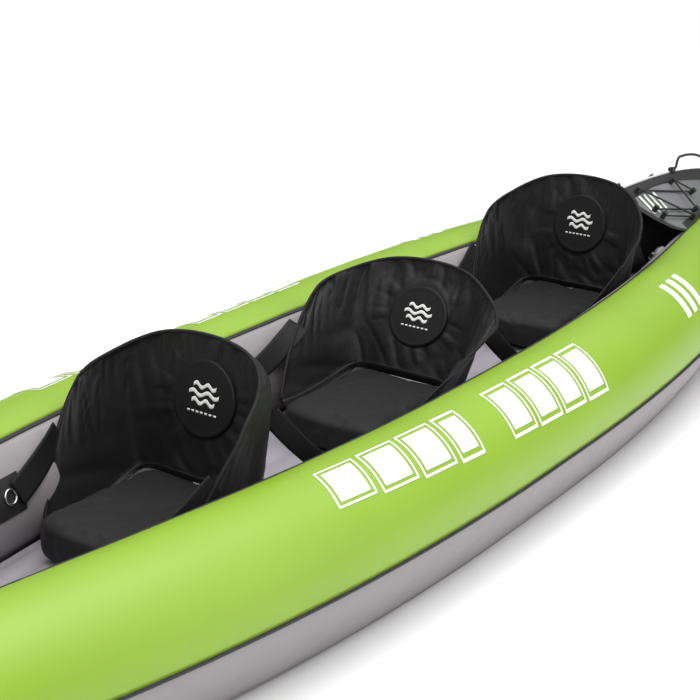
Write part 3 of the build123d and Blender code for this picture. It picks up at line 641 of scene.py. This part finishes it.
def through(line, share):
    """Smooth curve through points, with share from 0 to 1 along them."""
    spot = min(max(share, 0.0), 1.0) * (len(line) - 1)
    n = min(int(spot), len(line) - 2)
    t = spot - n
    near = [Vector(line[min(max(n + k, 0), len(line) - 1)]) for k in (-1, 0, 1, 2)]
    if n == 0:
        near[0] = Vector((near[2].x, -near[2].y, near[2].z))
    a, b, c, d = near
    return 0.5 * (2 * b + (c - a) * t + (2 * a - 5 * b + 4 * c - d) * t**2 + (3 * b - a - 3 * c + d) * t**3)


def shell_shape(a, v, hang):
    """Inner side of the backrest, with a from -1 to 1 round it and v from the foot to the rim."""
    side = -1 if a < 0 else 1
    reach = abs(a)
    foot, top = through(foot_line, reach), through(rim_line, reach)
    height, forward, spread, drop = hang[1:]
    top += Vector((forward, 0, top.z * (height - 1)))
    if side > 0:
        top += Vector((-0.042, 0.024, 0.0)) * spread * eased(reach, 0.35, 1)
    else:
        top.z -= drop * eased(reach, 0.3, 1)
    spot = foot.lerp(top, v)
    spot.x += 0.012 * (1 - reach) * math.sin(math.pi * v) * (1 - v)
    spot.x += 0.021 * math.sin(math.pi * v) ** 0.8 * reach**4
    spot.y += 0.010 * math.sin(math.pi * v) * math.sin(math.pi * min(reach, 1)) ** 2
    spot.y *= side
    return spot


def shell_normal(a, v, hang):
    """Direction out of the shell's inner side."""
    step = 0.004
    along = shell_shape(min(a + step, 1), v, hang) - shell_shape(max(a - step, -1), v, hang)
    up = shell_shape(a, min(v + step, 1), hang) - shell_shape(a, max(v - step, 0), hang)
    return along.cross(up).normalized()


def shell_folds(a, v, seed, hang, shift):
    """Depth of the cloth's folds: gathers under the rim, rays round the badge and creases below."""
    spot = shell_shape(a, v, hang)
    along = a * 0.42
    fall = eased(v, 0.25, 1.0) * (1 - 0.5 * eased(v, 0.95, 1.0))
    slant = along + 0.05 * (1 - v) * (1 if a > 0 else -1)
    gathers = 0.0060 * fall * ripple(slant * 17, v * 0.8, seed)
    gathers += 0.0022 * fall * ripple(slant * 44, v * 1.5, seed + 4)
    for rate, depth, kind in ((21, 0.0042, 11), (38, 0.0024, 17)):
        gathers -= depth * fall * math.exp(-(ripple(slant * rate, v * 1.1, seed + kind) / 0.11) ** 2)
    sideways, above = spot.y - shift[0], spot.z - emblem_middle - shift[1]
    span = math.hypot(sideways, above)
    round_badge = math.exp(-((span - 0.092) / 0.026) ** 2)
    around = (sideways / span * 3.4 + 9, above / span * 3.4, seed) if span > 0.01 else (0, 0, 0)
    rays = round_badge * (0.0036 * ripple(*around) - 0.0026 * math.exp(-(ripple(*around) / 0.12) ** 2))
    low = 1 - eased(v, 0.15, 0.55)
    slanted = ((spot.y + 0.7 * spot.z) * 17, (spot.z - 0.5 * spot.y) * 7, seed + 8)
    creases = low * (0.0050 * ripple(*slanted) - 0.0034 * math.exp(-(ripple(*slanted) / 0.12) ** 2))
    quiet = eased(span, emblem_size - 0.006, emblem_size + 0.014)
    edge = eased(v, 0.0, 0.05) * (1 - eased(abs(a), 0.96, 1.0))
    gully = -0.0022 * math.exp(-((span - emblem_size - 0.003) / 0.004) ** 2)
    return ((gathers + rays + creases) * edge + gully) * quiet + gully * (1 - quiet)


def shell_padding(a, v):
    """Thickness of the padded cloth."""
    middle = 0.020 * (1 - eased(abs(a), 0.40, 0.62)) + 0.006
    border = (1 - (2 * v - 1) ** 8) * (1 - abs(a) ** 16)
    return 0.0035 + (middle - 0.0035) * max(border, 0) ** 0.5


def seat_frame(name):
    """Place and lean of a seat's hinge line, and the same with the back's recline."""
    x, recline = seat_places[name]
    rise = math.atan((floor_top(x + cushion_length) - floor_top(x)) / cushion_length)
    hinge = Matrix.Translation((x, 0, floor_top(x))) @ Matrix.Rotation(-rise, 4, "Y")
    hinge = hinge @ Matrix.Translation((0, 0, hinge_height))
    return hinge, hinge @ Matrix.Rotation(math.radians(-recline), 4, "Y")


def leaning(name):
    """Place of the soft back, which leans a little past its frame."""
    return seat_frame(name)[1] @ Matrix.Rotation(math.radians(-seat_hang[name][0]), 4, "Y")


def bend_with_back(piece, name):
    """Bakes a piece's placement into its mesh, leaving its shape as it is."""
    hinge = seat_frame(name)[0].translation
    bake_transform(piece)


def seat_shell(name, seed):
    """Closed padded shell of the back and both its wings."""
    lean, hang = leaning(name), seat_hang[name]
    columns, rows = 120, 48
    front, rear = [], []
    for i in range(columns + 1):
        a = 2 * i / columns - 1
        for j in range(rows + 1):
            v = j / rows
            spot, normal = shell_shape(a, v, hang), shell_normal(a, v, hang)
            fold = shell_folds(a, v, seed, hang, emblem_shift[name])
            front.append(lean @ (spot + normal * fold))
            rear.append(lean @ (spot - normal * (shell_padding(a, v) - 0.5 * fold)))
    total = len(front)
    faces = []
    for i in range(columns):
        for j in range(rows):
            first = i * (rows + 1) + j
            quad = (first, first + rows + 1, first + rows + 2, first + 1)
            faces.append(quad)
            faces.append(tuple(n + total for n in quad[::-1]))
    border = [i * (rows + 1) for i in range(columns + 1)]
    border += [columns * (rows + 1) + j for j in range(1, rows + 1)]
    border += [i * (rows + 1) + rows for i in range(columns - 1, -1, -1)]
    border += list(range(rows - 1, 0, -1))
    for n, first in enumerate(border):
        second = border[(n + 1) % len(border)]
        faces.append((second, first, first + total, second + total))
    return new_piece(f"{name}_padded_back", front + rear, faces, seat_black)


def rim_path(name):
    """Line of the sewn rim: up the starboard wing, over the back and down the port wing."""
    lean, hang = leaning(name), seat_hang[name]
    line = [(-1, n / 30) for n in range(1, 30)]
    line += [(n / 60 - 1, 1) for n in range(121)]
    line += [(1, n / 30) for n in range(29, 0, -1)]
    return [lean @ (shell_shape(a, v, hang) - shell_normal(a, v, hang) * 0.0022) for a, v in line]


def on_back(name, y, z, lift):
    """Point over the middle of a backrest, by its place across and up the cloth."""
    y, z = y + emblem_shift[name][0], z + emblem_shift[name][1]
    a = y / 0.35
    foot, top = through(foot_line, abs(a)), through(rim_line, abs(a))
    v = (z - foot.z) / (top.z - foot.z)
    hang = seat_hang[name]
    return leaning(name) @ (shell_shape(a, v, hang) + shell_normal(a, v, hang) * lift)


def badge(name):
    """Round patch with a raised sewn edge, domed over the padding."""
    rings, spokes = 16, 72
    points = [on_back(name, 0, emblem_middle, 0.0030)]
    faces = []
    for i in range(1, rings + 1):
        reach = emblem_size * i / rings
        sewn_edge = 0.0012 * math.exp(-((reach - 0.066) / 0.0022) ** 2)
        lift = 0.0026 + sewn_edge - 0.0016 * eased(reach, 0.067, emblem_size)
        for k in range(spokes):
            turn = 2 * math.pi * k / spokes
            stitch = 0.0003 * (1 if k % 2 else -1) * (1 if i == rings - 1 else 0)
            across, above = reach * math.cos(turn), emblem_middle + reach * math.sin(turn)
            points.append(on_back(name, across, above, lift + stitch))
    for k in range(spokes):
        faces.append((0, 1 + k, 1 + (k + 1) % spokes))
        for i in range(rings - 1):
            a, b = 1 + i * spokes + k, 1 + i * spokes + (k + 1) % spokes
            faces.append((a, a + spokes, b + spokes, b))
    patch = new_piece(f"{name}_badge", points, faces, badge_cloth)
    wall = patch.modifiers.new("thickness", "SOLIDIFY")
    wall.thickness = 0.0018
    wall.offset = -1
    return settle(patch)


def badge_print(name):
    """Three plain waves, one over the other, with a short line under them."""
    made = []
    for n, (height, reach) in enumerate(((0.022, 0.026), (0.008, 0.034), (-0.006, 0.026))):
        def point(u, v):
            y = reach * (2 * u - 1)
            z = emblem_middle + height + 0.0035 * math.sin(u * 4 * math.pi) + 0.0072 * (v - 0.5)
            return on_back(name, y, z, 0.0036)

        made.append(settle(skin(f"{name}_wave_{n}", point, 40, 3, badge_white, 0.0005)))
    for n in range(7):
        def dash(u, v):
            return on_back(name, -0.033 + 0.010 * n + 0.006 * u, emblem_middle - 0.026 + 0.0034 * v, 0.0036)

        made.append(settle(skin(f"{name}_dash_{n}", dash, 3, 2, badge_white, 0.0005)))
    return joined(f"{name}_badge_print", made)


for seed, name in enumerate(seat_places):
    shell = seat_shell(name, seed * 13.0)
    finer = shell.modifiers.new("finer", "SUBSURF")
    finer.levels = finer.render_levels = 1
    settle(shell)
    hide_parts(f"{name}_seat_back", f"{name}_seat_wings")
    bend_with_back(shell, name)
    rim = bead(f"{name}_rim_bead", rim_path(name), 0.0038, seat_trim, 12)
    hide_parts(f"{name}_seat_rim")
    bend_with_back(rim, name)
    patch = badge(name)
    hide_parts(f"{name}_seat_emblem")
    print_on_patch = badge_print(name)
    for piece in (patch, print_on_patch):
        bend_with_back(piece, name)


# Seat cushions. A foam pad in a sewn nylon cover, crowned in the middle, that lies on the
# floor in front of the backrest and is sewn to it along the fold.
cushion_half_width = 0.132
cushion_thickness = 0.086
cushion_bottom = -0.0897                                    # under the hinge line


def cushion_block(name):
    """Pad with rounded corners and a crowned top, a little smaller than the finished cushion."""
    hinge = seat_frame(name)[0]
    inset = 0.007
    length, half = cushion_length - 2 * inset, cushion_half_width - inset
    thick = cushion_thickness - 2 * inset
    ring = []
    for k in range(96):
        turn = 2 * math.pi * k / 96
        c, d = math.cos(turn), math.sin(turn)
        across = math.copysign(abs(c) ** 0.30, c) * length / 2
        beside = math.copysign(abs(d) ** 0.30, d) * half
        ring.append((across + cushion_length / 2, beside))
    layers = ((0.80, 0.0), (0.93, 0.0), (0.985, 0.10), (1.0, 0.28),
              (1.0, 0.72), (0.985, 0.90), (0.93, 0.985), (0.80, 1.0))
    points, faces = [], []
    for scale, level in layers:
        for x, y in ring:
            middle = cushion_length / 2
            spot = Vector((middle + (x - middle) * scale, y * scale, inset + cushion_bottom + thick * level))
            points.append(hinge @ spot)
    for i in range(len(layers) - 1):
        for k in range(96):
            a, b = i * 96 + k, i * 96 + (k + 1) % 96
            faces.append((a, b, b + 96, a + 96))
    faces.append(tuple(range(96))[::-1])
    faces.append(tuple(range(len(points) - 96, len(points))))
    return new_piece(f"{name}_cushion", points, faces, cushion_black)


def inflate(piece, cap, pressure=4.0):
    """Fills the cover with foam: remeshes it, lets the cloth swell and limits how far it moves."""
    grid = piece.modifiers.new("grid", "REMESH")
    grid.mode = "VOXEL"
    grid.voxel_size = 0.0055
    settle(piece)
    before = [v.co.copy() for v in piece.data.vertices]
    cloth = piece.modifiers.new("cloth", "CLOTH")
    cloth.settings.use_pressure = True
    cloth.settings.uniform_pressure_force = pressure
    cloth.settings.effector_weights.gravity = 0
    cloth.settings.quality = 5
    cloth.settings.tension_stiffness = 12
    cloth.settings.bending_stiffness = 1.5
    for moment in range(1, 21):
        scene.frame_set(moment)
    settle(piece)
    scene.frame_set(1)
    for vertex, start in zip(piece.data.vertices, before):
        moved = vertex.co - start
        if moved.length > cap:
            vertex.co = start + moved * (cap / moved.length)
    for vertex in piece.data.vertices:
        at = vertex.co
        give = 0.0016 * ripple(at.x * 11, at.y * 13, at.z * 9) - 0.0022 * math.exp(
            -(ripple(at.x * 9 + 4, at.y * 16, at.z * 12) / 0.09) ** 2)
        vertex.co = at + vertex.normal * give
    finer = piece.modifiers.new("finer", "SUBSURF")
    finer.levels = finer.render_levels = 1
    return settle(piece)


def skirt_point(name):
    """Cloth that joins the foot of the back and wings to the cushion's upper edge."""
    lean, hinge = leaning(name), seat_frame(name)[0]

    def point(u, v):
        a = 2 * u - 1
        side = -1 if a < 0 else 1
        reach = abs(a)
        first = lean @ shell_shape(a, 0.03, seat_hang[name])
        beyond = max(reach - 0.4, 0) / 0.6
        beside = side * 0.127 * min(reach / 0.4, 1)
        last = hinge @ Vector((0.020 + 0.225 * beyond, beside, -0.013 - 0.045 * beyond))
        spot = first.lerp(last, v)
        spot.z -= 0.006 * math.sin(math.pi * v)
        spot.z += 0.0015 * math.sin(math.pi * v) * ripple(u * 24, v * 2, seat_places[name][0] * 9)
        return spot

    return point


for name in seat_places:
    skirt = settle(skin(f"{name}_skirt", skirt_point(name), 120, 10, seat_black, 0.0016))
    bend_with_back(skirt, name)
    cushion = inflate(cushion_block(name), 0.006)
    cushion.data.materials.clear()
    cushion.data.materials.append(cushion_black)
    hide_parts(f"{name}_seat_cushion")
    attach(cushion, "root")


# Seat straps. Flat nylon webbing runs from each wing forward to a ring on the side tube, and
# from behind each shoulder back to another ring.
strap_thickness = 0.002
wall_lift = 0.0076
front_reach = 0.3023
rear_reach = -0.1043


def webbing(name, path, width, across):
    """Flat strap along points, each with the direction across it."""
    points, faces = [], []
    for i, at in enumerate(path):
        along = (path[min(i + 1, len(path) - 1)] - path[max(i - 1, 0)]).normalized()
        wide = across[i] - along * across[i].dot(along)
        wide.normalize()
        flat = along.cross(wide)
        for k in range(9):
            share = k / 4 - 1
            ridge = 0.0004 * math.cos(share * 4 * math.pi)
            points.append(at + wide * share * width / 2 + flat * (strap_thickness / 2 + ridge))
        for k in range(9):
            share = 1 - k / 4
            points.append(at + wide * share * width / 2 - flat * strap_thickness / 2)
    for i in range(len(path) - 1):
        for k in range(18):
            a, b = i * 18 + k, i * 18 + (k + 1) % 18
            faces.append((a, b, b + 18, a + 18))
    faces.append(tuple(range(18))[::-1])
    faces.append(tuple(range(len(points) - 18, len(points))))
    return new_piece(name, points, faces, seat_trim)


def wall_spot(x, z, side):
    """Point just off a tube's inner wall at a height."""
    middle = tube_centre(x)[1]
    angle = 180 - math.degrees(math.asin((z - middle) / tube_size(x)))
    return on_tube(x, angle, wall_lift, side)


def strap_run(first, last, first_across, last_across, sag, steps=28):
    """Points, and directions across, of a strap that hangs a little between its ends."""
    line, across = [], []
    for n in range(steps + 1):
        t = n / steps
        line.append(first.lerp(last, t) + Vector((0, 0, -sag * math.sin(math.pi * t))))
        across.append(first_across.lerp(last_across, eased(t, 0.1, 0.9)))
    return line, across


for name in seat_places:
    x = seat_places[name][0]
    lean, hang = leaning(name), seat_hang[name]
    for reach, kind in ((front_reach, "front"), (rear_reach, "rear")):
        straps = []
        for side in (1, -1):
            end_x = x + reach
            height = tube_centre(end_x)[1] + 0.32 * tube_size(end_x)
            last = wall_spot(end_x, height, side)
            down = wall_spot(end_x, height + 0.02, side) - wall_spot(end_x, height - 0.02, side)
            if kind == "front":
                low, high = (lean @ shell_shape(side, v, hang) for v in (0.55, 0.88))
                width, sag = 0.050, 0.006
            else:
                low, high = (lean @ Vector((-0.017, side * 0.140, z)) for z in (0.120, 0.158))
                width, sag = 0.038, 0.004
            first, upward = low.lerp(high, 0.5), (high - low).normalized()
            line, across = strap_run(first, last, upward, down.normalized(), sag)
            straps.append(webbing(f"{name}_{kind}_{side}", line, width, across))
        pair = joined(f"{name}_{kind}_webbing", straps)
        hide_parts(f"{name}_seat_{kind}_straps")
        if kind == "front":
            bend_with_back(pair, name)
        else:
            hinge = seat_frame(name)[0].translation
            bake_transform(pair)


# Decks. A tent of grey cloth is sewn to the tubes over bow and stern, with black tape on its
# cockpit edge and along its ridge, an elastic lashing and a few plain printed stripes.
deck_grey = cloth_finish("deck_cloth", (0.15, 0.15, 0.16), (0.20, 0.20, 0.21), 0.55, threads=900,
                         weave_depth=0.00012, size=30, crumple_depth=0.0008, stretch=(0.5, 1, 1))
deck_apex = 1.100
deck_shoulder = 1.240
deck_end = 1.832
deck_angle = 119.6                                          # where the deck is sewn to a tube
tape_lift = 0.0021
stripe_lift = 0.0024
ridge_top = 0.380
ridge_fall = 0.080


def ridge_height(x):
    """Height of the deck's ridge."""
    along = max(abs(x) - deck_apex, 0) / (deck_end - deck_apex)
    return ridge_top - ridge_fall * along**2.5


def deck_edge(x):
    """Point on the port tube where the deck is sewn on."""
    return on_tube(x, deck_angle, 0.0016)


def on_deck(x, share, lift, end):
    """Point over a deck, with share from -1 to 1 across it and end 1 at the bow or -1 at the stern."""
    edge = deck_edge(x)
    top = Vector((x, 0, ridge_height(x)))
    near = top.lerp(edge, abs(share))
    slope = (edge - top).normalized()
    outward = Vector((0, -slope.z, slope.y)) if slope.z < 0 else Vector((0, 0, 1))
    flat = eased(abs(share), 0, 0.05)
    outward = Vector((0, outward.y * flat, outward.z)).normalized()
    near += outward * lift
    return Vector((end * x, near.y * (1 if share >= 0 else -1), near.z))


def deck_front(share):
    """Place along the hull of the deck's rounded cockpit edge."""
    return deck_shoulder - (deck_shoulder - deck_apex) * math.sqrt(max(1 - (share * 0.994) ** 2, 0))


def deck_point(end):
    def point(u, v):
        share = 2 * v - 1
        x = deck_front(share) + (deck_end - deck_front(share)) * u
        loose = math.sin(math.pi * min(abs(share), 1)) * (1 - 0.5 * u)
        pull = 0.0011 * ripple(x * 9 + share * 3, share * 2.5, end * 4)
        pull += 0.0005 * ripple(x * 26, share * 5, end)
        return on_deck(x, share, 0.0004 + pull * loose, end)

    return point


def ridge_tape(end):
    def point(u, v):
        x = deck_apex + 0.004 + (deck_end - deck_apex - 0.006) * u
        reach = 0.020 + 0.016 * math.exp(-((x - deck_apex) / 0.12) ** 2)
        half = deck_edge(x).y
        share = (2 * v - 1) * min(reach / half, 0.9)
        return on_deck(x, share, tape_lift + 0.0001, end)

    return point


def front_tape(end):
    def point(u, v):
        share = (2 * u - 1) * 0.985
        x = deck_front(share) + 0.001 + 0.017 * v
        return on_deck(x, share, tape_lift - 0.0001 + 0.0004 * math.sin(math.pi * v), end)

    return point


def side_tape(end, side):
    def point(u, v):
        x = deck_shoulder + 0.006 + (deck_end - deck_shoulder - 0.010) * u
        return on_deck(x, side * (0.990 - 0.10 * v), tape_lift, end)

    return point


for name, end in (("bow", 1), ("stern", -1)):
    cloth = settle(skin(f"{name}_deck_cloth", deck_point(end), 180, 80, deck_grey, 0.0012, flip=end < 0))
    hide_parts(f"{name}_deck")
    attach(cloth, "root")
    tapes = [
        settle(skin(f"{name}_ridge_tape", ridge_tape(end), 200, 12, trim_black, 0.0012, flip=end < 0)),
        settle(skin(f"{name}_front_tape", front_tape(end), 160, 6, trim_black, 0.0012, flip=end > 0)),
    ]
    for side in (1, -1):
        tapes.append(settle(skin(f"{name}_tape_{side}", side_tape(end, side), 160, 4, trim_black, 0.0012,
                                 flip=end * side > 0)))
    edging = joined(f"{name}_deck_tape", tapes)
    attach(edging, "root")

stripes = []
for n in range(4):
    def stripe(u, v):
        x = 1.262 - 0.028 * n - 0.012 * v - 0.016 * u
        half = deck_edge(x).y
        return on_deck(x, (0.034 + 0.058 * u) / half, stripe_lift, -1)

    stripes.append(settle(skin(f"deck_stripe_{n}", stripe, 14, 4, print_white, 0.0004)))
deck_print = joined("stern_deck_stripes", stripes)
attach(deck_print, "root")


# Fittings and everything that stays as drawn: cords, handles, eyelets, rings, valves, drain,
# fin base, end caps, the air chambers in their covers and the coated bottom.
def solid_finish(name, deep, light, rough, metal=0.0, grain=90, depth=0.00015):
    """Moulded or coated surface with a fine grain and slightly uneven colour and gloss."""
    gloss = (rough - 0.06, rough + 0.06)
    made, shader, _, dents = uneven_base(name, deep, light, gloss, grain, depth, "Height")
    shader.inputs["Metallic"].default_value = metal
    made.node_tree.links.new(dents.outputs["Normal"], shader.inputs["Normal"])
    return made


braid = cloth_finish("braided_cord", (0.010, 0.010, 0.011), (0.022, 0.022, 0.023), 0.6, threads=420,
                     weave_depth=0.0004, size=60, crumple_depth=0.0002)
# Deck ridge piping: a real bead, but its pale grey colour is partly painted highlight along the crest of the
# ridge.
ridge_bead_painted_highlight = cloth_finish("ridge_bead_painted_highlight", (0.62, 0.63, 0.62), (0.74, 0.75, 0.74), 0.45, threads=700,
                         weave_depth=0.0001, size=40, crumple_depth=0.0003)
black_plastic = solid_finish("black_plastic", (0.014, 0.014, 0.015), (0.024, 0.024, 0.025), 0.4)
grey_plastic = solid_finish("grey_plastic", (0.20, 0.20, 0.21), (0.26, 0.26, 0.27), 0.38)
steel = solid_finish("steel", (0.52, 0.52, 0.53), (0.66, 0.66, 0.67), 0.24, metal=1.0, depth=0.00004)
bladder = solid_finish("air_bladder", (0.30, 0.31, 0.33), (0.38, 0.39, 0.41), 0.32, grain=30, depth=0.0006)
coated = cloth_finish("coated_bottom", (0.20, 0.19, 0.20), (0.25, 0.24, 0.25), 0.45, threads=500,
                      weave_depth=0.0002, size=18, crumple_depth=0.0010, coat=0.2)
kept_as_drawn = {
    braid: ("bow_bungee_cord", "stern_bungee_cord", "bow_carry_handle", "stern_carry_handle"),
    ridge_bead_painted_highlight: ("deck_ridge_piping",),
    trim_black: ("strap_patches",),
    seat_trim: tuple(f"{name}_seat_seam" for name in seat_places),
    black_plastic: ("bungee_eyelets", "handle_anchors", "bow_nose_cap", "stern_nose_cap", "fin_base",
                    "drain_plug", "port_valve_cap", "starboard_valve_cap", "floor_valve_cap"),
    grey_plastic: ("valve_bodies", "drain_body", "port_valve_plunger", "starboard_valve_plunger",
                   "floor_valve_plunger"),
    steel: ("strap_rings",),
    bladder: ("port_air_chamber", "starboard_air_chamber"),
    coated: ("bottom_cover",),
}
for finish, names in kept_as_drawn.items():
    for name in names:
        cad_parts[name].data.materials[0] = finish
